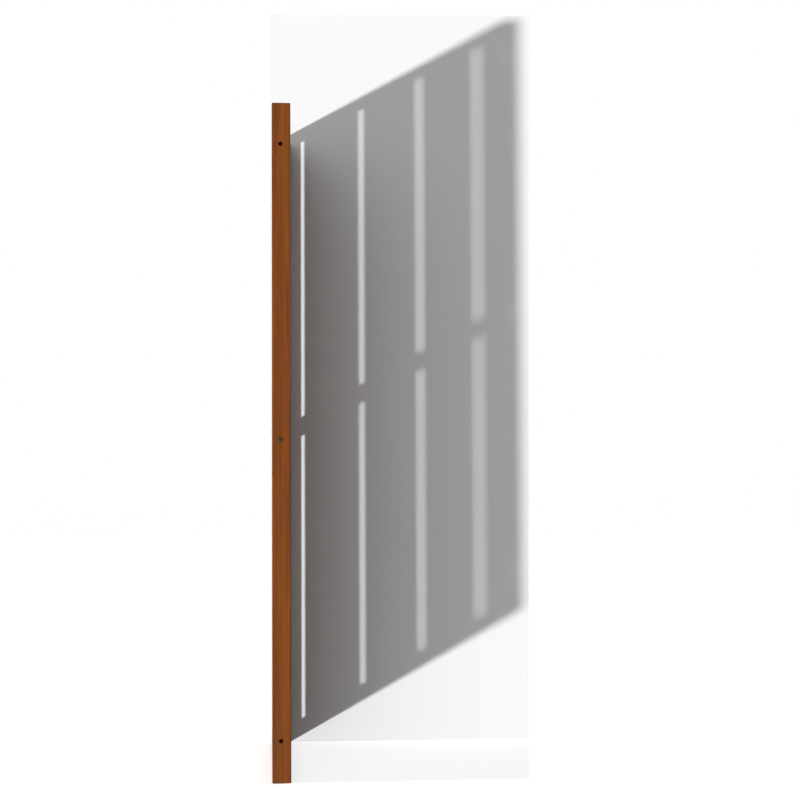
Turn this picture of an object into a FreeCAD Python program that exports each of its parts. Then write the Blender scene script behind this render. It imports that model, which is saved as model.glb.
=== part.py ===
# Garden privacy screen: a framed panel of five upright slats with light gaps between them.
#
# All lengths are millimetres. Frame of the part: +Z up, +X across the panel's width, +Y from the
# front face to the open back. The origin is the middle of the footprint, on the ground.
#
# Four folded profiles of the same section are mitred into a frame. Each profile is a web as deep
# as the panel, a broad flange along the front and a narrow lip along the back. The slats lie
# against the inner side of the front flanges, a shallow channel ties them at mid height, and
# corner plates tie the back lips. Every fixing is a flush rivet.
import FreeCAD, Part
import os

import Sketcher

doc = FreeCAD.newDocument("privacy_screen")
sheet = doc.addObject("Spreadsheet::Sheet", "Sizes")

# ---------------------------------------------------------------- driving dimensions
# Each row is the alias, its value and what it measures.
DRIVING_SIZES = [
    ("panel_height", 1800, "bottom edge to top edge"),
    ("panel_width", 600, "outer face to outer face of the stiles"),
    ("panel_depth", 50, "front face to back lip"),
    ("profile_wall", 2, "sheet of the frame profiles"),
    ("front_flange", 25, "front flange of a profile, from its outer face"),
    ("back_lip", 15, "back lip of a profile, from its outer face"),
    ("bend_inside", 1, "inner radius of every bend"),
    ("edge_play", 0.5, "gap between an inserted edge and a bend"),
    ("slat_sheet", 2, "sheet of the slats"),
    ("slit_columns", 4, "light gaps across the width"),
    ("slit_width", 10, "width of a light gap"),
    ("slit_end_offset", 73.5, "outer face to the middle of the first light gap"),
    ("tie_height", 55, "height of the mid rail"),
    ("tie_depth", 8, "depth of the mid rail, clear of the middle post hole"),
    ("tie_sheet", 2, "sheet of the mid rail"),
    ("post_hole_diameter", 11.5, "holes in the stile webs for bolts to the posts"),
    ("post_hole_margin", 110, "end of the stile to the outer post holes"),
    ("post_hole_inset", 23, "front face to the line of post holes"),
    ("post_holes", 3, "post holes in each stile"),
    ("rivet_shank", 4, "shank diameter of a set rivet, which fills its hole"),
    ("rivet_head", 7, "diameter of the flush head at the surface"),
    ("rivet_tail", 6, "diameter of the set tail"),
    ("rivet_tail_length", 2, "height of the set tail"),
    ("rivet_edge", 12, "edge of a slat or plate to the nearest rivet"),
    ("stile_rivet_margin", 60, "end of the stile to its first slat rivet"),
    ("stile_rivets", 5, "slat rivets along each stile, the middle one through the mid rail"),
    ("corner_sheet", 2, "sheet of the corner plates"),
    ("corner_rivet_start", 28, "outer corner to the first rivet of a corner plate"),
    ("corner_rivet_pitch", 22, "pitch of the two rivets on each leg of a corner plate"),
    ("drain_hole_diameter", 8, "holes that drain the bottom rail"),
    ("drain_hole_margin", 100, "end of the bottom rail to its outer drain holes"),
    ("drain_holes", 3, "drain holes in the bottom rail"),
]

for row, (alias, value, meaning) in enumerate(DRIVING_SIZES, start=1):
    sheet.set("A%d" % row, alias)
    sheet.set("B%d" % row, str(value))
    sheet.set("C%d" % row, meaning)
    sheet.setAlias("B%d" % row, alias)
doc.recompute()

# ---------------------------------------------------------------- derived lengths, as formulas
FRONT = "(-Sizes.panel_depth / 2)"
BACK = "(Sizes.panel_depth / 2)"
RIGHT = "(Sizes.panel_width / 2)"
MID_HEIGHT = "(Sizes.panel_height / 2)"
BEND_OUTSIDE = "(Sizes.bend_inside + Sizes.profile_wall)"
# how far the edges of the inserted pieces stand inside the outer faces
EDGE_INSET = "(Sizes.profile_wall + Sizes.bend_inside + Sizes.edge_play)"
SLIT_PITCH = "((Sizes.panel_width - 2 * Sizes.slit_end_offset) / (Sizes.slit_columns - 1))"
RIVET_PAIR = "(Sizes.slit_width + 2 * Sizes.rivet_edge)"
# the slat rivets run down the middle of the front flanges
FLANGE_LINE = "(Sizes.front_flange / 2)"
STILE_RIVET_PITCH = (
    "((Sizes.panel_height - 2 * Sizes.stile_rivet_margin) / (Sizes.stile_rivets - 1))")
HEAD_DEPTH = "((Sizes.rivet_head - Sizes.rivet_shank) / 2)"
# the corner plates lie behind the lips, and their rivets run down the plates' middle
PLATE_EDGE = "(Sizes.back_lip - Sizes.edge_play)"
LIP_LINE = "((%s + %s) / 2)" % (EDGE_INSET, PLATE_EDGE)
PLATE_REACH = "(Sizes.corner_rivet_start + Sizes.corner_rivet_pitch + Sizes.rivet_edge)"
# the drain holes run down the middle of the bottom rail's web
DRAIN_LINE = "(Sizes.panel_depth / 2)"
# depths at which the layers lie, from the front face
SLAT_FRONT = "Sizes.profile_wall"
TIE_FRONT = "(Sizes.profile_wall + Sizes.slat_sheet)"


def measure(formula):
    """The present value of a formula of the sheet's sizes."""
    return float(sheet.evalExpression(formula))


# ---------------------------------------------------------------- modelling helpers
def new_body(name):
    """An empty body with the label that names its file."""
    body = doc.addObject("PartDesign::Body", name)
    body.Label = name
    return body


def origin_feature(body, role):
    """One of the body's own origin planes or axes."""
    for feature in body.Origin.OriginFeatures:
        if feature.Role == role:
            return feature
    raise ValueError("no origin feature called " + role)


def new_sketch(body, name, plane, offset=("0", "0", "0")):
    """A sketch flat on an origin plane, moved by formulas in the plane's own directions."""
    sketch = body.newObject("Sketcher::SketchObject", body.Name + "_" + name)
    sketch.AttachmentSupport = [(origin_feature(body, plane), "")]
    sketch.MapMode = "FlatFace"
    for axis, formula in zip("xyz", offset):
        if formula != "0":
            sketch.setExpression("AttachmentOffset.Base." + axis, formula)
    return sketch


def pin_point(sketch, geometry, end, place):
    """Hold one point of the sketch at a pair of formulas."""
    for kind, formula in zip(("DistanceX", "DistanceY"), place):
        index = sketch.addConstraint(
            Sketcher.Constraint(kind, -1, 1, geometry, end, measure(formula)))
        sketch.setExpression("Constraints[%d]" % index, formula)


def draw_outline(sketch, corners):
    """A closed outline of straight lines through corners given as pairs of formulas."""
    places = [FreeCAD.Vector(measure(x), measure(y), 0) for x, y in corners]
    count = len(corners)
    for index in range(count):
        sketch.addGeometry(Part.LineSegment(places[index], places[(index + 1) % count]))
    for index in range(count):
        sketch.addConstraint(Sketcher.Constraint("Coincident", index, 2, (index + 1) % count, 1))
    for index, corner in enumerate(corners):
        pin_point(sketch, index, 1, corner)


def draw_circles(sketch, centres, diameter):
    """Equal circles at centres given as pairs of formulas."""
    for number, centre in enumerate(centres):
        place = FreeCAD.Vector(measure(centre[0]), measure(centre[1]), 0)
        up = FreeCAD.Vector(0, 0, 1)
        sketch.addGeometry(Part.Circle(place, up, measure(diameter) / 2))
        pin_point(sketch, number, 3, centre)
        index = sketch.addConstraint(
            Sketcher.Constraint("Diameter", number, measure(diameter)))
        sketch.setExpression("Constraints[%d]" % index, diameter)


def pad(body, sketch, length, against_normal=False):
    """Extrude a sketch along its plane's normal, or against it."""
    feature = body.newObject("PartDesign::Pad", sketch.Name + "_pad")
    feature.Profile = sketch
    feature.Type = "Length"
    feature.Reversed = against_normal
    feature.setExpression("Length", length)
    doc.recompute()
    return feature


def cut(body, sketch, depth, along_normal):
    """Cut a sketch away to a depth, along its plane's normal or against it."""
    before = body.Shape.Volume
    feature = body.newObject("PartDesign::Pocket", sketch.Name + "_cut")
    feature.Profile = sketch
    feature.Type = "Length"
    feature.Reversed = along_normal
    feature.setExpression("Length", depth)
    doc.recompute()
    if not feature.Shape.Volume < before:
        raise RuntimeError(feature.Name + " cuts nothing")
    return feature


def repeat(body, feature, axis, count, span, count_2=None, span_2=None):
    """Repeat a feature over a span, and over a second span along the same axis if given."""
    pattern = body.newObject("PartDesign::LinearPattern", feature.Name + "_row")
    pattern.Originals = [feature]
    pattern.Direction = (origin_feature(body, axis), [""])
    pattern.setExpression("Length", span)
    pattern.setExpression("Occurrences", count)
    if count_2:
        pattern.Direction2 = (origin_feature(body, axis), [""])
        pattern.setExpression("Length2", span_2)
        pattern.setExpression("Occurrences2", count_2)
    body.Tip = pattern
    doc.recompute()
    return pattern


def round_bends(body, name, along, corners, radius):
    """Round the edges that run along an axis through corners of the section."""
    base = body.Tip
    across = [axis for axis in range(3) if axis != along]
    places = [tuple(measure(formula) for formula in corner) for corner in corners]
    names = []
    for number, edge in enumerate(base.Shape.Edges, start=1):
        ends = [vertex.Point for vertex in edge.Vertexes]
        if len(ends) != 2 or abs(ends[0][along] - ends[1][along]) < edge.Length / 2:
            continue
        spot = [ends[0][axis] for axis in across]
        if any(max(abs(a - b) for a, b in zip(spot, place)) < 0.01 for place in places):
            names.append("Edge%d" % number)
    feature = body.newObject("PartDesign::Fillet", body.Name + "_" + name)
    feature.Base = (base, names)
    feature.setExpression("Radius", radius)
    body.Tip = feature
    doc.recompute()


def countersink(body, name, face_depth, centre_height=None):
    """Open the mouths of the rivet holes in the plane y = face_depth into seats for flush heads.

    With centre_height only the holes at that height are opened.
    """
    base = body.Tip
    shank_radius = measure("Sizes.rivet_shank / 2")
    names = []
    for number, edge in enumerate(base.Shape.Edges, start=1):
        if not isinstance(edge.Curve, Part.Circle):
            continue
        circle = edge.Curve
        if abs(circle.Radius - shank_radius) > 0.001:
            continue
        if abs(circle.Center.y - measure(face_depth)) > 0.001:
            continue
        if centre_height and abs(circle.Center.z - measure(centre_height)) > 0.001:
            continue
        names.append("Edge%d" % number)
    feature = body.newObject("PartDesign::Chamfer", body.Name + "_" + name)
    feature.Base = (base, names)
    feature.ChamferType = "Equal distance"
    feature.setExpression("Size", HEAD_DEPTH)
    body.Tip = feature
    doc.recompute()


def place(body, x, y, z, turn=0):
    """Put a body at three formulas, turned about the panel's depth axis by degrees."""
    body.Placement = FreeCAD.Placement(
        FreeCAD.Vector(0, 0, 0), FreeCAD.Rotation(FreeCAD.Vector(0, 1, 0), turn))
    for axis, formula in zip("xyz", (x, y, z)):
        body.setExpression("Placement.Base." + axis, formula)


# The frame has the same section all round, so each profile is drawn standing in the bottom left
# corner and is then turned into the corner that it starts from. Each row is the corner, its two
# coordinates and the turn.
FULL_TURN = 360
QUARTER_TURN = FULL_TURN / 4
CORNERS = {
    "bottom_left": ("-" + RIGHT, "0", 0),
    "top_left": ("-" + RIGHT, "Sizes.panel_height", QUARTER_TURN),
    "top_right": (RIGHT, "Sizes.panel_height", 2 * QUARTER_TURN),
    "bottom_right": (RIGHT, "0", -QUARTER_TURN),
}


def place_in_corner(body, corner, depth=FRONT):
    """Turn a piece drawn in the bottom left corner into another, at a depth."""
    x, z, turn = CORNERS[corner]
    place(body, x, depth, z, turn)


# ---------------------------------------------------------------- frame profiles
def frame_profile(name, length, corner):
    """A mitred profile: web on x = 0, front flange on y = 0, back lip, running up Z."""
    body = new_body(name)
    flange, lip = "Sizes.front_flange", "Sizes.back_lip"
    wall, depth = "Sizes.profile_wall", "Sizes.panel_depth"
    inner_depth = "(Sizes.panel_depth - Sizes.profile_wall)"
    section = new_sketch(body, "section", "XY_Plane")
    draw_outline(section, [
        ("0", "0"), (flange, "0"), (flange, wall), (wall, wall),
        (wall, inner_depth), (lip, inner_depth), (lip, depth), ("0", depth)])
    pad(body, section, length)
    round_bends(body, "outer_bends", 2, [("0", "0"), ("0", depth)], BEND_OUTSIDE)
    round_bends(body, "inner_bends", 2, [(wall, wall), (wall, inner_depth)], "Sizes.bend_inside")

    # each end is cut back at 45 degrees, so that two profiles meet on the corner's diagonal
    over = "(Sizes.front_flange + Sizes.profile_wall)"
    far = "(%s - %s)" % (length, over)
    foot = new_sketch(body, "foot_mitre", "XZ_Plane")
    draw_outline(foot, [("0", "0"), (over, "0"), (over, over)])
    cut(body, foot, depth, along_normal=False)
    head = new_sketch(body, "head_mitre", "XZ_Plane")
    draw_outline(head, [("0", length), (over, far), (over, length)])
    cut(body, head, depth, along_normal=False)

    # holes for the corner plates' rivets, two through the lip at each end
    second = "(Sizes.corner_rivet_start + Sizes.corner_rivet_pitch)"
    lip_holes = new_sketch(body, "lip_holes", "XZ_Plane", ("0", "0", "-%s" % inner_depth))
    draw_circles(
        lip_holes, [(LIP_LINE, "Sizes.corner_rivet_start"), (LIP_LINE, second)],
        "Sizes.rivet_shank")
    holes = cut(body, lip_holes, wall, along_normal=False)
    repeat(body, holes, "Z_Axis", "2", "%s - Sizes.corner_rivet_start - %s" % (length, second))
    countersink(body, "lip_seats", depth)
    place_in_corner(body, corner)
    return body


def stile(name, corner):
    """An upright: a profile with post holes through the web and slat rivets down the flange."""
    body = frame_profile(name, "Sizes.panel_height", corner)
    post_hole = new_sketch(body, "post_hole", "YZ_Plane")
    draw_circles(
        post_hole, [("Sizes.post_hole_inset", "Sizes.post_hole_margin")],
        "Sizes.post_hole_diameter")
    hole = cut(body, post_hole, "Sizes.profile_wall", along_normal=True)
    repeat(body, hole, "Z_Axis", "Sizes.post_holes",
           "Sizes.panel_height - 2 * Sizes.post_hole_margin")
    flange_hole = new_sketch(body, "flange_hole", "XZ_Plane")
    draw_circles(flange_hole, [(FLANGE_LINE, "Sizes.stile_rivet_margin")], "Sizes.rivet_shank")
    hole = cut(body, flange_hole, "Sizes.profile_wall", along_normal=False)
    repeat(body, hole, "Z_Axis", "Sizes.stile_rivets",
           "Sizes.panel_height - 2 * Sizes.stile_rivet_margin")
    countersink(body, "flange_seats", "0")
    return body


def rail(name, corner, drained):
    """A cross member: a profile with a pair of slat rivets beside every light gap."""
    body = frame_profile(name, "Sizes.panel_width", corner)
    first = "(Sizes.slit_end_offset - %s / 2)" % RIVET_PAIR
    second = "(Sizes.slit_end_offset + %s / 2)" % RIVET_PAIR
    flange_holes = new_sketch(body, "flange_holes", "XZ_Plane")
    draw_circles(flange_holes, [(FLANGE_LINE, first), (FLANGE_LINE, second)], "Sizes.rivet_shank")
    holes = cut(body, flange_holes, "Sizes.profile_wall", along_normal=False)
    repeat(body, holes, "Z_Axis", "Sizes.slit_columns",
           "Sizes.panel_width - 2 * Sizes.slit_end_offset")
    countersink(body, "flange_seats", "0")
    if drained:
        drain = new_sketch(body, "drain_hole", "YZ_Plane")
        draw_circles(
            drain, [(DRAIN_LINE, "Sizes.drain_hole_margin")], "Sizes.drain_hole_diameter")
        hole = cut(body, drain, "Sizes.profile_wall", along_normal=True)
        repeat(body, hole, "Z_Axis", "Sizes.drain_holes",
               "Sizes.panel_width - 2 * Sizes.drain_hole_margin")
    return body


# ---------------------------------------------------------------- slats
SLAT_LENGTH = "(Sizes.panel_height - 2 * %s)" % EDGE_INSET
FIRST_ROW = "(%s - %s)" % (FLANGE_LINE, EDGE_INSET)
ROW_SPAN = "(Sizes.panel_height - 2 * %s)" % FLANGE_LINE


def slat(number, count):
    """A flat upright slat. The two outer ones run under the stiles' flanges and are narrower."""
    name = "slat_%d" % number
    body = new_body(name)
    outermost_left, outermost_right = number == 1, number == count
    gap_left = "(-%s + Sizes.slit_end_offset + %d * %s)" % (RIGHT, number - 2, SLIT_PITCH)
    gap_right = "(-%s + Sizes.slit_end_offset + %d * %s)" % (RIGHT, number - 1, SLIT_PITCH)
    left = "(%s + Sizes.slit_width / 2)" % gap_left
    right = "(%s - Sizes.slit_width / 2)" % gap_right
    if outermost_left:
        left = "(-%s + %s)" % (RIGHT, EDGE_INSET)
    if outermost_right:
        right = "(%s - %s)" % (RIGHT, EDGE_INSET)

    outline = new_sketch(body, "outline", "XZ_Plane")
    draw_outline(outline, [(left, "0"), (right, "0"), (right, SLAT_LENGTH), (left, SLAT_LENGTH)])
    pad(body, outline, "Sizes.slat_sheet", against_normal=True)

    # rivets beside the light gaps, in the bottom rail, the mid rail and the top rail
    columns = []
    if not outermost_left:
        columns.append("(%s + Sizes.rivet_edge)" % left)
    if not outermost_right:
        columns.append("(%s - Sizes.rivet_edge)" % right)
    row = new_sketch(body, "row_holes", "XZ_Plane")
    draw_circles(row, [(column, FIRST_ROW) for column in columns], "Sizes.rivet_shank")
    holes = cut(body, row, "Sizes.slat_sheet", along_normal=False)
    repeat(body, holes, "Z_Axis", "3", ROW_SPAN)
    countersink(body, "mid_seats", "0", "%s - %s" % (MID_HEIGHT, EDGE_INSET))

    # rivets through the stile's flange
    if outermost_left or outermost_right:
        line = "(%s - %s)" % (RIGHT, FLANGE_LINE)
        if outermost_left:
            line = "(-%s)" % line
        edge = new_sketch(body, "stile_holes", "XZ_Plane")
        draw_circles(
            edge, [(line, "(Sizes.stile_rivet_margin - %s)" % EDGE_INSET)], "Sizes.rivet_shank")
        hole = cut(body, edge, "Sizes.slat_sheet", along_normal=False)
        repeat(body, hole, "Z_Axis", "Sizes.stile_rivets",
               "Sizes.panel_height - 2 * Sizes.stile_rivet_margin")
    place(body, "0", "%s + %s" % (FRONT, SLAT_FRONT), EDGE_INSET)
    return body


# ---------------------------------------------------------------- mid rail
def mid_rail():
    """A shallow channel behind the slats, from stile to stile."""
    body = new_body("mid_rail")
    height, depth, wall = "Sizes.tie_height", "Sizes.tie_depth", "Sizes.tie_sheet"
    upper = "(Sizes.tie_height - Sizes.tie_sheet)"
    section = new_sketch(body, "section", "YZ_Plane")
    draw_outline(section, [
        ("0", "0"), (depth, "0"), (depth, wall), (wall, wall),
        (wall, upper), (depth, upper), (depth, height), ("0", height)])
    pad(body, section, "Sizes.panel_width - 2 * %s" % EDGE_INSET)
    bend_outside = "(Sizes.bend_inside + Sizes.tie_sheet)"
    round_bends(body, "outer_bends", 0, [("0", "0"), ("0", height)], bend_outside)
    round_bends(body, "inner_bends", 0, [(wall, wall), (wall, upper)], "Sizes.bend_inside")

    middle = "(Sizes.tie_height / 2)"
    first = "(Sizes.slit_end_offset - %s / 2 - %s)" % (RIVET_PAIR, EDGE_INSET)
    second = "(Sizes.slit_end_offset + %s / 2 - %s)" % (RIVET_PAIR, EDGE_INSET)
    slat_holes = new_sketch(body, "slat_holes", "XZ_Plane")
    draw_circles(slat_holes, [(first, middle), (second, middle)], "Sizes.rivet_shank")
    holes = cut(body, slat_holes, wall, along_normal=False)
    repeat(body, holes, "X_Axis", "Sizes.slit_columns",
           "Sizes.panel_width - 2 * Sizes.slit_end_offset")
    end_hole = new_sketch(body, "end_hole", "XZ_Plane")
    draw_circles(end_hole, [("(%s - %s)" % (FLANGE_LINE, EDGE_INSET), middle)],
                 "Sizes.rivet_shank")
    hole = cut(body, end_hole, wall, along_normal=False)
    repeat(body, hole, "X_Axis", "2", "Sizes.panel_width - 2 * %s" % FLANGE_LINE)
    place(body, "%s - %s" % (EDGE_INSET, RIGHT), "%s + %s" % (FRONT, TIE_FRONT),
          "%s - Sizes.tie_height / 2" % MID_HEIGHT)
    return body


# ---------------------------------------------------------------- corner plates
def corner_plate(name, corner):
    """A flat L behind the lips of two profiles, which holds their mitre shut."""
    body = new_body(name)
    outline = new_sketch(body, "outline", "XZ_Plane")
    near, edge, reach = EDGE_INSET, PLATE_EDGE, PLATE_REACH
    draw_outline(outline, [
        (near, near), (reach, near), (reach, edge), (edge, edge), (edge, reach), (near, reach)])
    pad(body, outline, "Sizes.corner_sheet", against_normal=True)
    second = "(Sizes.corner_rivet_start + Sizes.corner_rivet_pitch)"
    holes = new_sketch(body, "holes", "XZ_Plane")
    draw_circles(holes, [
        (LIP_LINE, "Sizes.corner_rivet_start"), (LIP_LINE, second),
        ("Sizes.corner_rivet_start", LIP_LINE), (second, LIP_LINE)], "Sizes.rivet_shank")
    cut(body, holes, "Sizes.corner_sheet", along_normal=False)
    place_in_corner(body, corner, "%s - Sizes.profile_wall - Sizes.corner_sheet" % BACK)
    return body


# ---------------------------------------------------------------- rivets
def rivet(body, name, grip, start, inward=1):
    """One flush rivet: head at the surface, shank through the grip, tail set beyond it.

    start holds the formulas of the head's centre; inward is 1 for a rivet set from the front
    and -1 for one set from the back.
    """
    head, shank = "Sizes.rivet_head / 2", "Sizes.rivet_shank / 2"
    tail = "Sizes.rivet_tail / 2"
    levels = [("0", "0"), (head, "0"), (shank, HEAD_DEPTH), (shank, grip), (tail, grip),
              (tail, "(%s + Sizes.rivet_tail_length)" % grip),
              ("0", "(%s + Sizes.rivet_tail_length)" % grip)]
    profile = new_sketch(body, name, "XY_Plane", start)
    draw_outline(profile, [(radius, "%d * %s" % (inward, level)) for radius, level in levels])
    feature = body.newObject("PartDesign::Revolution", profile.Name + "_turned")
    feature.Profile = profile
    feature.ReferenceAxis = (profile, ["V_Axis"])
    feature.Angle = FULL_TURN
    doc.recompute()
    return feature


FLANGE_GRIP = "(Sizes.profile_wall + Sizes.slat_sheet)"
TIE_GRIP = "(Sizes.slat_sheet + Sizes.tie_sheet)"
END_GRIP = "(Sizes.profile_wall + Sizes.slat_sheet + Sizes.tie_sheet)"
CORNER_GRIP = "(Sizes.profile_wall + Sizes.corner_sheet)"


def slat_rivets(name, grip, front, height):
    """A row of rivets, two beside every light gap, whose heads lie at the depth front."""
    body = new_body(name)
    first = "(Sizes.slit_end_offset - %s - %s / 2)" % (RIGHT, RIVET_PAIR)
    one = rivet(body, "rivet", grip, (first, front, height))
    repeat(body, one, "X_Axis", "2", RIVET_PAIR, "Sizes.slit_columns",
           "Sizes.panel_width - 2 * Sizes.slit_end_offset")
    return body


def stile_rivets(name, side):
    """The rivets of one stile: two layers except in the middle, where the mid rail joins in."""
    body = new_body(name)
    line = "(%d * (%s - %s))" % (side, RIGHT, FLANGE_LINE)
    one = rivet(body, "flange_rivet", FLANGE_GRIP, (line, FRONT, "Sizes.stile_rivet_margin"))
    repeat(body, one, "Z_Axis", "(Sizes.stile_rivets - 1) / 2",
           "%s * ((Sizes.stile_rivets - 1) / 2 - 1)" % STILE_RIVET_PITCH,
           "2", "%s * (Sizes.stile_rivets + 1) / 2" % STILE_RIVET_PITCH)
    rivet(body, "end_rivet", END_GRIP, (line, FRONT, MID_HEIGHT))
    return body


def corner_rivets(name, corner):
    """The four rivets of one corner plate, set from the back."""
    body = new_body(name)
    start = "Sizes.corner_rivet_start"
    depth = "Sizes.panel_depth"
    upright = rivet(body, "upright_rivet", CORNER_GRIP, (LIP_LINE, depth, start), inward=-1)
    repeat(body, upright, "Z_Axis", "2", "Sizes.corner_rivet_pitch")
    level = rivet(body, "level_rivet", CORNER_GRIP, (start, depth, LIP_LINE), inward=-1)
    repeat(body, level, "X_Axis", "2", "Sizes.corner_rivet_pitch")
    place_in_corner(body, corner)
    return body


# ---------------------------------------------------------------- the screen
pieces = [
    stile("left_stile", "bottom_left"),
    stile("right_stile", "top_right"),
    rail("top_rail", "top_left", drained=False),
    rail("bottom_rail", "bottom_right", drained=True),
]
slat_count = int(measure("Sizes.slit_columns")) + 1
for slat_number in range(1, slat_count + 1):
    pieces.append(slat(slat_number, slat_count))
pieces.append(mid_rail())

for corner_name in CORNERS:
    pieces.append(corner_plate("corner_plate_" + corner_name, corner_name))
    pieces.append(corner_rivets("corner_rivets_" + corner_name, corner_name))

pieces.append(slat_rivets("bottom_rail_rivets", FLANGE_GRIP, FRONT, FLANGE_LINE))
pieces.append(slat_rivets(
    "top_rail_rivets", FLANGE_GRIP, FRONT, "Sizes.panel_height - %s" % FLANGE_LINE))
pieces.append(slat_rivets(
    "mid_rail_rivets", TIE_GRIP, "%s + %s" % (FRONT, SLAT_FRONT), MID_HEIGHT))
pieces.append(stile_rivets("left_stile_rivets", -1))
pieces.append(stile_rivets("right_stile_rivets", 1))

doc.recompute()
for item in doc.Objects:
    if "Invalid" in item.State or "Error" in item.State:
        raise RuntimeError("%s failed: %s" % (item.Name, item.State))
for piece in pieces:
    if piece.Shape.isNull() or not piece.Shape.isValid():
        raise RuntimeError(piece.Label + " has no valid shape")

os.makedirs("parts", exist_ok=True)
for piece in pieces:
    piece.Shape.exportStep("parts/%s.step" % piece.Label)
    box = piece.Shape.BoundBox
    print("%-28s %2d solids %12.1f mm3  x %8.2f %8.2f  y %7.2f %7.2f  z %8.2f %8.2f" % (
        piece.Label, len(piece.Shape.Solids), piece.Shape.Volume,
        box.XMin, box.XMax, box.YMin, box.YMax, box.ZMin, box.ZMax))
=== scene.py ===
# %% [markdown]
# # Garden privacy screen
# A tall framed panel of folded sheet metal with a brown wood-grain coating. It stands on edge in
# front of a pale board, and the sun draws its four rows of light gaps on the board.
# The shapes come from the CAD frame. This lesson adds the finishes, the small details, the light
# and the camera.

# %% the frame
import bpy, bmesh, math
from mathutils import Matrix, Vector


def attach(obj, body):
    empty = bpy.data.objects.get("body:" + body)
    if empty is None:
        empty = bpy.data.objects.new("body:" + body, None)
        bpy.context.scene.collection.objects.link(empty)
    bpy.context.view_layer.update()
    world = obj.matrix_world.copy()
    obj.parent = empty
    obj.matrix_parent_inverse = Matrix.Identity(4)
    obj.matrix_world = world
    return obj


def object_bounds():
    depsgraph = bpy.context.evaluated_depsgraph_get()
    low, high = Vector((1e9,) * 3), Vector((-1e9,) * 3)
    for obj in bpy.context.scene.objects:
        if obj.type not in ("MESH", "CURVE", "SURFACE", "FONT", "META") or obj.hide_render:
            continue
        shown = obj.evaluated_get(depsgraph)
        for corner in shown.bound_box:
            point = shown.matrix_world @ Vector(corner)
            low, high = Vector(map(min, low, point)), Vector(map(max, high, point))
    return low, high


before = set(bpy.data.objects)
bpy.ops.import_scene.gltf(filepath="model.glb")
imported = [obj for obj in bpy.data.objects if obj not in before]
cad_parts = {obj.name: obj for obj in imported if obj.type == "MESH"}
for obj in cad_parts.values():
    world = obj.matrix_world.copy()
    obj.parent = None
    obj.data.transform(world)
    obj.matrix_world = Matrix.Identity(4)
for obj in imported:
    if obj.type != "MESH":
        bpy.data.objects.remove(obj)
cad_low, cad_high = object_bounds()
PANEL_LOW, PANEL_HIGH = cad_low.copy(), cad_high.copy()
print("panel", [round(v, 4) for v in PANEL_HIGH - PANEL_LOW], "nodes", len(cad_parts))

# %% [markdown]
# ## The camera
# The photograph looks at the panel from its right edge, so only one stile shows, 50 mm wide, and
# the board behind it. A camera could be aimed with a Track To constraint. Here its three axes are
# written out from a yaw, a pitch and a small roll, because that places the picture to a pixel.

# %% camera
IMAGE_SIDE = 800
FOCAL_PIXELS = 1650.0
SENSOR = 36.0
CAMERA_PLACE = Vector((4.6823, -0.0018, 0.8846))
YAW, PITCH, ROLL = 0.0723, 0.0456, -0.0045
SHIFT_PIXELS = (0.0, -30.0)


def camera_axes(yaw, pitch, roll):
    """Right, up and forward of a camera that looks along -X at zero yaw and pitch."""
    forward = Vector((-math.cos(pitch) * math.cos(yaw),
                      math.cos(pitch) * math.sin(yaw), math.sin(pitch)))
    right = forward.cross(Vector((0, 0, 1))).normalized()
    up = right.cross(forward)
    return (math.cos(roll) * right + math.sin(roll) * up,
            math.cos(roll) * up - math.sin(roll) * right, forward)


right, up, forward = camera_axes(YAW, PITCH, ROLL)
lens = bpy.data.cameras.new("edge_view")
lens.sensor_fit, lens.sensor_width = "HORIZONTAL", SENSOR
lens.lens = FOCAL_PIXELS * SENSOR / IMAGE_SIDE
lens.shift_x, lens.shift_y = -SHIFT_PIXELS[0] / IMAGE_SIDE, SHIFT_PIXELS[1] / IMAGE_SIDE
camera = bpy.data.objects.new("edge_view", lens)
camera.matrix_world = Matrix.Translation(CAMERA_PLACE) @ Matrix(
    (right, up, -forward)).transposed().to_4x4()
bpy.context.scene.collection.objects.link(camera)
bpy.context.scene.camera = camera
bpy.context.scene.view_settings.view_transform = "Standard"
print("lens", round(lens.lens, 1), "mm at", tuple(round(v, 2) for v in CAMERA_PLACE))

# %% [markdown]
# ## Building materials from nodes
# Every finish here is procedural. Small helpers keep the node code short: they add a node and set
# its values, feed a socket from another node, map a value to another range, and tell what the
# camera and reflections see from what only receives light.

# %% node helpers
def new_material(name):
    """An empty material with its shader and output joined."""
    material = bpy.data.materials.new(name)
    material.use_nodes = True
    return material, material.node_tree, material.node_tree.nodes["Principled BSDF"]


def add_node(tree, kind, settings=(), **values):
    """A node of a kind, with its settings and the values of its named sockets."""
    node = tree.nodes.new(kind)
    for key, value in dict(settings).items():
        setattr(node, key, value)
    for key, value in values.items():
        node.inputs[key.replace("_", " ")].default_value = value
    return node


def join(tree, source, output, target, entry):
    """Feeds one socket from another."""
    tree.links.new(source.outputs[output], target.inputs[entry])


def map_to(tree, source, low_end, high_end, low_start=0.0, high_start=1.0, output=0):
    """Maps a node's value from one range to another."""
    node = add_node(tree, "ShaderNodeMapRange", From_Min=low_start, From_Max=high_start,
                    To_Min=low_end, To_Max=high_end)
    join(tree, source, output, node, "Value")
    return node


def seen_directly(tree):
    """A node that gives 1 to camera, glossy and transmission rays, and 0 to the rest."""
    path = add_node(tree, "ShaderNodeLightPath")
    seen = add_node(tree, "ShaderNodeMath", {"operation": "MAXIMUM"})
    join(tree, path, "Is Camera Ray", seen, 0)
    join(tree, path, "Is Glossy Ray", seen, 1)
    through = add_node(tree, "ShaderNodeMath", {"operation": "MAXIMUM"})
    join(tree, seen, 0, through, 0)
    join(tree, path, "Is Transmission Ray", through, 1)
    return through


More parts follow.
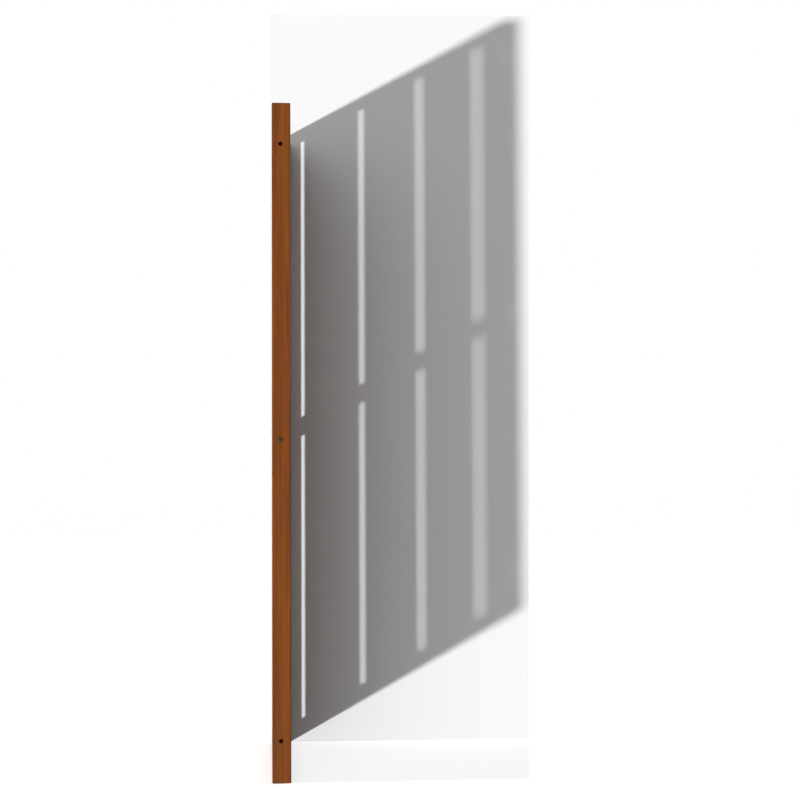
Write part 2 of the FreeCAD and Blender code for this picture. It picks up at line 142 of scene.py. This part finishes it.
# %% [markdown]
# ## The stage
# A pale board stands just behind the far stile and takes the shadow, and a pale floor lies under
# the panel. The sun comes from low in front and shines a little upwards, so the floor lets the
# sunlight through. The floor glows a little to the camera, which keeps it pale, and its diffuse
# part still shows the panel's soft contact shadow. The board has a front only: its back side is
# empty, as one-sided paper in a doll's house would be, so it hides nothing from the other sides.

# %% board and floor
BOARD_GREY = 0.92
BOARD_BEHIND = 0.0005
BOARD_CORNERS = [(-0.033, 0), (0.745, 0), (0.762, 2.203), (-0.033, 2.195)]
LEAF_Y = (-0.024, 0.655)
LEAF_HEIGHT = 0.0005
LEAF_GREY, LEAF_GLOW = 0.4, 0.64
FLOOR_REACH = 12
FLOOR_GREY, FLOOR_GLOW = 0.8, 0.62


def flat_sheet(name, corners):
    """One four-sided face."""
    mesh = bpy.data.meshes.new(name)
    mesh.from_pydata(corners, [], [(0, 1, 2, 3)])
    sheet = bpy.data.objects.new(name, mesh)
    bpy.context.scene.collection.objects.link(sheet)
    return sheet


def pale_material(name, grey, glow):
    """Diffuse grey that glows by an amount to the camera and to reflections."""
    material, tree, shader = new_material(name)
    shader.inputs["Base Color"].default_value = (grey, grey, grey, 1)
    shader.inputs["Roughness"].default_value = 1
    shader.inputs["Specular IOR Level"].default_value = 0
    if glow:
        amount = add_node(tree, "ShaderNodeMath", {"operation": "MULTIPLY"})
        amount.inputs[1].default_value = glow
        join(tree, seen_directly(tree), 0, amount, 0)
        shader.inputs["Emission Color"].default_value = (1, 1, 1, 1)
        join(tree, amount, 0, shader, "Emission Strength")
    return material


def open_back(material):
    """Leaves a sheet's back side empty, so that it hides nothing that stands in front of it."""
    tree = material.node_tree
    facing = add_node(tree, "ShaderNodeNewGeometry")
    nothing = add_node(tree, "ShaderNodeBsdfTransparent")
    either = add_node(tree, "ShaderNodeMixShader")
    join(tree, facing, "Backfacing", either, 0)
    join(tree, tree.nodes["Principled BSDF"], "BSDF", either, 1)
    join(tree, nothing, "BSDF", either, 2)
    join(tree, either, 0, tree.nodes["Material Output"], "Surface")
    return material


board_x = PANEL_LOW.x - BOARD_BEHIND
board = flat_sheet("pale_board", [(board_x, y, z) for y, z in BOARD_CORNERS])
board.data.materials.append(open_back(pale_material("board_paper", BOARD_GREY, 0)))
board.visible_shadow = False
leaf = flat_sheet("pale_leaf", [(board_x, BOARD_CORNERS[0][0], LEAF_HEIGHT),
                                (PANEL_HIGH.x, LEAF_Y[0], LEAF_HEIGHT),
                                (PANEL_HIGH.x, LEAF_Y[1], LEAF_HEIGHT),
                                (board_x, BOARD_CORNERS[1][0], LEAF_HEIGHT)])
leaf.data.materials.append(pale_material("leaf_paper", LEAF_GREY, LEAF_GLOW))
leaf.visible_shadow = leaf.visible_diffuse = False
floor = flat_sheet("pale_floor", [(x * FLOOR_REACH, y * FLOOR_REACH, 0)
                                  for x, y in ((-1, -1), (1, -1), (1, 1), (-1, 1))])
floor.data.materials.append(pale_material("floor_paper", FLOOR_GREY, FLOOR_GLOW))
floor.visible_shadow = floor.visible_diffuse = False
print("board corners", BOARD_CORNERS)

# %% [markdown]
# ## The light
# The shadow tells where the sun is: for each metre that the light goes back, it goes 1.18 m
# sideways and 0.65 m up, and the gaps blur as a sun of two degrees would blur them. A sky of one
# tone fills the shadow. A second, very soft sun near the camera lets the shadow grow paler away
# from the panel, and a third lights the back for the other views. A fourth shines level along the
# panel from the far side and reaches the far stile's outer face and hardly anything else. A fifth
# comes straight down on the top rail, where none of the others falls. These last three light what
# they fall on and no more: their light isn't handed on, so the brown back sends no warm glow to
# the board.

# %% lamps and sky
# name, direction of its light, level, angle in degrees, whether its light is handed on
LAMPS = [("low_sun", (-1, 1.1776, 0.6485), 1.12, 2.1, True),
         ("soft_front", (-1, 0.37, -0.33), 0.305, 59, True),
         ("soft_back", (0.45, -0.85, -0.30), 0.6, 30, False),
         ("soft_side", (1, 0.02, 0.01), 0.5, 4, False),
         ("soft_top", (0, 0, -1), 0.3, 3, False)]
SKY_LEVEL = 0.10


def sun_lamp(name, direction, level, angle, bounces):
    """A sun whose light gives a grey facing it that share of its written tone."""
    lamp = bpy.data.lights.new(name, "SUN")
    lamp.energy, lamp.angle = level * math.pi, angle
    if not bounces:
        lamp.cycles.max_bounces = 0
    item = bpy.data.objects.new(name, lamp)
    item.rotation_mode = "QUATERNION"
    item.rotation_quaternion = direction.to_track_quat("-Z", "Y")
    bpy.context.scene.collection.objects.link(item)


for name, direction, level, degrees, bounces in LAMPS:
    sun_lamp(name, Vector(direction), level, math.radians(degrees), bounces)

world = bpy.data.worlds.new("even_sky")
bpy.context.scene.world = world
world.use_nodes = True
sky = world.node_tree
background = sky.nodes["Background"]
background.inputs["Color"].default_value = (1, 1, 1, 1)
level = map_to(sky, seen_directly(sky), SKY_LEVEL, 1.0)
join(sky, level, "Result", background, "Strength")
print("sky", SKY_LEVEL)

# %% [markdown]
# ## The wood-grain coating
# The real sheet is powder coated brown, and a grain is printed into the coat: long streaks, a few
# millimetres to a centimetre and a half wide and ten to forty centimetres long, a little redder
# or more olive than their neighbours. An image could give that, but noise that is stretched
# along the piece does it at any size. Two noises make the streaks, a third shifts the hue, a
# fourth makes slow clouds, and the finest one also gives the bump and the sheen, because the
# print stands up slightly. Where the sheet turns a corner, inside or out, the colour is darker:
# partly a thinner coat on the bends, partly painted shade in the corners and along the edges.
# A dark hairline marks each mitre.

# %% coating
BROWN = (0.198, 0.0535, 0.0085)
# bends, edges and inside corners are darkened: partly a thinner coat, partly painted shade
EDGE_RADIUS, EDGE_COAT_AND_SHADE, EDGE_SAMPLES = 0.0028, 0.58, 6
EDGE_COSINES = (0.80, 0.995)
SEAM_HALF_WIDTH, SEAM_TONE = 0.0006, 0.35
# size across and along the grain in metres, detail and distortion of each layer of streaks
STREAKS = {"broad": (0.014, 0.42, 2.0, 0.4), "fine": (0.0038, 0.11, 3.0),
           "hue": (0.011, 0.33, 1.0), "cloud": (0.25, 0.6, 1.0)}
PRINT_GLOSS, PRINT_ROUGHNESS = 0.11, (0.50, 0.66)


def tint(factor):
    """The coat's brown, lighter or darker."""
    return tuple(factor * part for part in BROWN) + (1,)


def shade(factor):
    """A grey to multiply a colour by."""
    return (factor, factor, factor, 1)


def streaks(tree, place, axis, across, along, detail, distort=0.0):
    """Noise that is drawn out along one axis. Sizes are in metres."""
    scale = [1 / across] * 3
    scale["XYZ".index(axis)] = 1 / along
    mapping = add_node(tree, "ShaderNodeMapping")
    mapping.inputs["Scale"].default_value = scale
    join(tree, place, 0, mapping, "Vector")
    noise = add_node(tree, "ShaderNodeTexNoise", Scale=1.0, Detail=detail, Roughness=0.55,
                     Distortion=distort)
    join(tree, mapping, "Vector", noise, "Vector")
    return noise


def ramp(tree, source, stops):
    """A colour ramp of (place, colour) stops on a noise's value."""
    node = add_node(tree, "ShaderNodeValToRGB")
    bar = node.color_ramp
    while len(bar.elements) < len(stops):
        bar.elements.new(0.5)
    for element, (at, colour) in zip(bar.elements, stops):
        element.position, element.color = at, colour
    join(tree, source, 0, node, "Fac")
    return node.outputs["Color"]


def mix_colours(tree, amount, first, second, mode="MIX"):
    """Blends two colours by an amount. Each of the three is a socket or a plain value."""
    node = add_node(tree, "ShaderNodeMix", {"data_type": "RGBA", "blend_type": mode})
    for number, value in zip((0, 6, 7), (amount, first, second)):
        if isinstance(value, bpy.types.NodeSocket):
            tree.links.new(value, node.inputs[number])
        else:
            node.inputs[number].default_value = value
    return node.outputs[2]


def edge_coat_and_shade(tree, colour, radius, darkest):
    """Darkens a colour where the surface turns a corner: partly a thinly baked coat, partly
    painted shade in corners and along edges.
    """
    flat = add_node(tree, "ShaderNodeNewGeometry")
    rounded = add_node(tree, "ShaderNodeBevel", {"samples": EDGE_SAMPLES}, Radius=radius)
    facing = add_node(tree, "ShaderNodeVectorMath", {"operation": "DOT_PRODUCT"})
    join(tree, flat, "Normal", facing, 0)
    join(tree, rounded, "Normal", facing, 1)
    turn = map_to(tree, facing, darkest, 1.0, *EDGE_COSINES, output="Value")
    grey = add_node(tree, "ShaderNodeCombineColor")
    for channel in range(3):
        join(tree, turn, "Result", grey, channel)
    return mix_colours(tree, 1.0, colour, grey.outputs[0], "MULTIPLY")


def seam_tone(tree, space, colour):
    """A dark hairline along the mitres, where the insets from the side and the end are equal."""
    parts = add_node(tree, "ShaderNodeSeparateXYZ")
    join(tree, space, "Object", parts, 0)
    side = add_node(tree, "ShaderNodeMath", {"operation": "ABSOLUTE"})
    join(tree, parts, "X", side, 0)
    half_height = (PANEL_HIGH.z - PANEL_LOW.z) / 2
    rise = add_node(tree, "ShaderNodeMath", {"operation": "SUBTRACT"})
    rise.inputs[1].default_value = half_height
    join(tree, parts, "Z", rise, 0)
    rise_size = add_node(tree, "ShaderNodeMath", {"operation": "ABSOLUTE"})
    join(tree, rise, 0, rise_size, 0)
    apart = add_node(tree, "ShaderNodeMath", {"operation": "SUBTRACT"})
    join(tree, rise_size, 0, apart, 0)
    join(tree, side, 0, apart, 1)
    near = add_node(tree, "ShaderNodeMath", {"operation": "COMPARE"})
    near.inputs[1].default_value = half_height - PANEL_HIGH.x
    near.inputs[2].default_value = SEAM_HALF_WIDTH
    join(tree, apart, 0, near, 0)
    return mix_colours(tree, near.outputs[0], colour, tint(SEAM_TONE))


def grained_coating(name, axis, shift, seams):
    """The printed coat, with its grain along an axis and started from a place of its own."""
    material, tree, shader = new_material(name)
    space = add_node(tree, "ShaderNodeTexCoord")
    place = add_node(tree, "ShaderNodeVectorMath", {"operation": "ADD"})
    place.inputs[1].default_value = (shift, shift * 1.7, shift * 2.3)
    join(tree, space, "Object", place, 0)

    broad, fine, hue, cloud = [streaks(tree, place, axis, *STREAKS[layer])
                               for layer in ("broad", "fine", "hue", "cloud")]
    colour = ramp(tree, broad, [(0.30, tint(0.80)), (0.50, tint(1.0)), (0.72, tint(1.19))])
    for layer, stops in (
            (fine, [(0.32, shade(0.86)), (0.66, shade(1.10))]),
            (hue, [(0.35, (0.95, 1.04, 0.90, 1)), (0.65, (1.05, 0.955, 1.08, 1))]),
            (cloud, [(0.3, shade(0.93)), (0.7, shade(1.06))])):
        colour = mix_colours(tree, 1.0, colour, ramp(tree, layer, stops), "MULTIPLY")
    if seams:
        colour = seam_tone(tree, space, colour)
    # painted shade at corners and edges, mixed with the darker coat on the bends
    colour = edge_coat_and_shade(tree, colour, EDGE_RADIUS, EDGE_COAT_AND_SHADE)
    tree.links.new(colour, shader.inputs["Base Color"])
    join(tree, map_to(tree, fine, *PRINT_ROUGHNESS), "Result", shader, "Roughness")
    shader.inputs["Specular IOR Level"].default_value = PRINT_GLOSS

    peel = add_node(tree, "ShaderNodeTexNoise", Scale=620.0, Detail=2.0, Roughness=0.5)
    join(tree, place, 0, peel, "Vector")
    peel_bump = add_node(tree, "ShaderNodeBump", Strength=0.22, Distance=0.00012)
    join(tree, peel, 0, peel_bump, "Height")
    grain_bump = add_node(tree, "ShaderNodeBump", Strength=0.35, Distance=0.00025)
    join(tree, fine, 0, grain_bump, "Height")
    join(tree, peel_bump, "Normal", grain_bump, "Normal")
    join(tree, grain_bump, "Normal", shader, "Normal")
    return material


def dress(item, coat):
    """Gives a piece one material."""
    item.data.materials.clear()
    item.data.materials.append(coat)


MITRED = ("left_stile", "right_stile", "top_rail", "bottom_rail")
UPRIGHT_SLATS = ("slat_1", "slat_2", "slat_3", "slat_4", "slat_5")
SHIFT_STEP = 0.37
for number, node in enumerate(MITRED + ("mid_rail",) + UPRIGHT_SLATS, start=1):
    along = "X" if node.endswith("rail") else "Z"
    dress(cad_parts[node],
          grained_coating("grain_" + node, along, SHIFT_STEP * number, node in MITRED))
print("coated", len(MITRED) + 1 + len(UPRIGHT_SLATS), "pieces")

# %% [markdown]
# ## Corner plates and rivets
# The corner plates and the rivets are coated in the same brown without the print, so they are
# plain, a little darker and slightly smoother, with the fine dimples of powder coat.

# %% plain coat
def plain_coating(name, tone, rough):
    """Powder coat with no print: even colour, small dimples, faint clouds."""
    material, tree, shader = new_material(name)
    space = add_node(tree, "ShaderNodeTexCoord")
    clouds = add_node(tree, "ShaderNodeTexNoise", Scale=38.0, Detail=3.0)
    join(tree, space, "Object", clouds, "Vector")
    tones = ramp(tree, clouds, [(0.3, tint(tone * 0.90)), (0.7, tint(tone * 1.08))])
    tree.links.new(tones, shader.inputs["Base Color"])
    join(tree, map_to(tree, clouds, rough - 0.05, rough + 0.06), "Result", shader, "Roughness")
    shader.inputs["Specular IOR Level"].default_value = 0.2
    peel = add_node(tree, "ShaderNodeTexNoise", Scale=700.0, Detail=2.0)
    join(tree, space, "Object", peel, "Vector")
    bump = add_node(tree, "ShaderNodeBump", Strength=0.3, Distance=0.00015)
    join(tree, peel, 0, bump, "Height")
    join(tree, bump, "Normal", shader, "Normal")
    return material


plate_coat = plain_coating("plate_coat", 0.88, 0.52)
rivet_coat = plain_coating("rivet_coat", 0.93, 0.46)
for node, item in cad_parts.items():
    if node.startswith("corner_plate_"):
        dress(item, plate_coat)
    elif "rivets" in node:
        dress(item, rivet_coat)
print("plain coats on the plates and rivets")

# %% [markdown]
# ## The ends of the blind rivets
# A blind rivet is pulled shut by a steel stem that snaps off inside its head, so a small steel
# dot shows in the middle of every flush head. The near-black ring round each dot is painted
# shade for the gap about the stem. Behind the sheet the tail swells to a rounded bulb with the
# stem's own head on it. Both are turned shapes: a few rings of points round an axis, joined by
# quads, which is how a lathe or Blender's Spin would make them. The CAD solids say where each
# rivet is: every loose part of a rivet node is one rivet.

# %% turned shapes
AROUND = 18
TOUCHING = 1e-6
MILLIMETRE = 0.001


def turn_profile(shape, profile, centre, outward):
    """Adds a profile of (radius, height, finish) turned about Y at a centre."""
    rings = []
    for radius, height, _ in profile:
        rings.append([])
        for step in range(AROUND if radius else 1):
            angle = 2 * math.pi * step / AROUND
            rings[-1].append(shape.verts.new(centre + MILLIMETRE * Vector(
                (radius * math.cos(angle), outward * height, radius * math.sin(angle)))))
    for (low, high), (_, _, material) in zip(zip(rings, rings[1:]), profile[1:]):
        for step in range(AROUND):
            after = (step + 1) % AROUND
            corners = (low[step % len(low)], low[after % len(low)],
                       high[after % len(high)], high[step % len(high)])
            face = shape.faces.new(list(dict.fromkeys(corners)))
            face.material_index, face.smooth = material, True


def rivet_places(node):
    """The boxes of a rivet node's loose parts, as (lowest, highest) corners."""
    shape = bmesh.new()
    shape.from_mesh(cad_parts[node].data)
    bmesh.ops.remove_doubles(shape, verts=shape.verts, dist=TOUCHING)
    unseen, boxes = set(shape.verts), []
    for start in shape.verts:
        if start not in unseen:
            continue
        unseen.remove(start)
        stack, part = [start], []
        while stack:
            vertex = stack.pop()
            part.append(vertex.co.copy())
            for edge in vertex.link_edges:
                other = edge.other_vert(vertex)
                if other in unseen:
                    unseen.remove(other)
                    stack.append(other)
        boxes.append((Vector(map(min, *part)), Vector(map(max, *part))))
    shape.free()
    return boxes


print("rivets", sum(len(rivet_places(n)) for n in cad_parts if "rivets" in n))

# %% stems and bulbs
# the first finish is a near-black ring: painted shade in the gap round the stem
PAINTED_SHADE, STEEL, COAT = 0, 1, 2
# radius and height in millimetres, and the finish of the band that ends there
STEM_END = [(0, -0.2, PAINTED_SHADE), (1.28, -0.2, PAINTED_SHADE), (1.28, 0, PAINTED_SHADE), (1.22, 0.04, PAINTED_SHADE),
            (0.94, 0.04, PAINTED_SHADE), (0.90, 0.12, STEEL), (0.62, 0.20, STEEL), (0, 0.15, STEEL)]
BULB = [(0, -0.3, COAT), (3.1, -0.3, COAT), (3.2, 0.7, COAT), (3.1, 1.5, COAT),
        (2.5, 2.2, COAT), (1.4, 2.5, COAT), (1.25, 2.5, STEEL), (1.2, 2.9, STEEL),
        (0.8, 3.2, STEEL), (0, 3.3, STEEL)]
TAIL_LENGTH = 0.002


def small_finish(name, colour, rough, metallic):
    """A small metal or shaded surface with fine specks in its tone."""
    material, tree, shader = new_material(name)
    space = add_node(tree, "ShaderNodeTexCoord")
    specks = add_node(tree, "ShaderNodeTexNoise", Scale=2400.0, Detail=2.0)
    join(tree, space, "Object", specks, "Vector")
    dim = tuple(0.7 * part for part in colour)
    tones = ramp(tree, specks, [(0.3, dim + (1,)), (0.7, colour + (1,))])
    tree.links.new(tones, shader.inputs["Base Color"])
    shader.inputs["Metallic"].default_value = metallic
    shader.inputs["Roughness"].default_value = rough
    return material


# near-black finish that paints the shade in the gap round each stem
painted_gap_shade = small_finish("painted_gap_shade", (0.02, 0.010, 0.006), 0.8, 0.0)
stem_steel = small_finish("stem_steel", (0.30, 0.28, 0.26), 0.45, 1.0)
for node in [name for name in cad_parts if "rivets" in name]:
    from_back = node.startswith("corner_rivets_")
    shape = bmesh.new()
    for lowest, highest in rivet_places(node):
        middle = (lowest + highest) / 2
        head_y, tail_y = (highest.y, lowest.y) if from_back else (lowest.y, highest.y)
        outward = 1 if from_back else -1
        seat_y = tail_y + outward * TAIL_LENGTH
        turn_profile(shape, STEM_END, Vector((middle.x, head_y, middle.z)), outward)
        turn_profile(shape, BULB, Vector((middle.x, seat_y, middle.z)), -outward)
    bmesh.ops.recalc_face_normals(shape, faces=shape.faces)
    mesh = bpy.data.meshes.new("ends_of_" + node)
    shape.to_mesh(mesh)
    shape.free()
    for finish in (painted_gap_shade, stem_steel, rivet_coat):
        mesh.materials.append(finish)
    ends = bpy.data.objects.new("ends_of_" + node, mesh)
    bpy.context.scene.collection.objects.link(ends)
    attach(ends, "root")
print("rivet ends made")
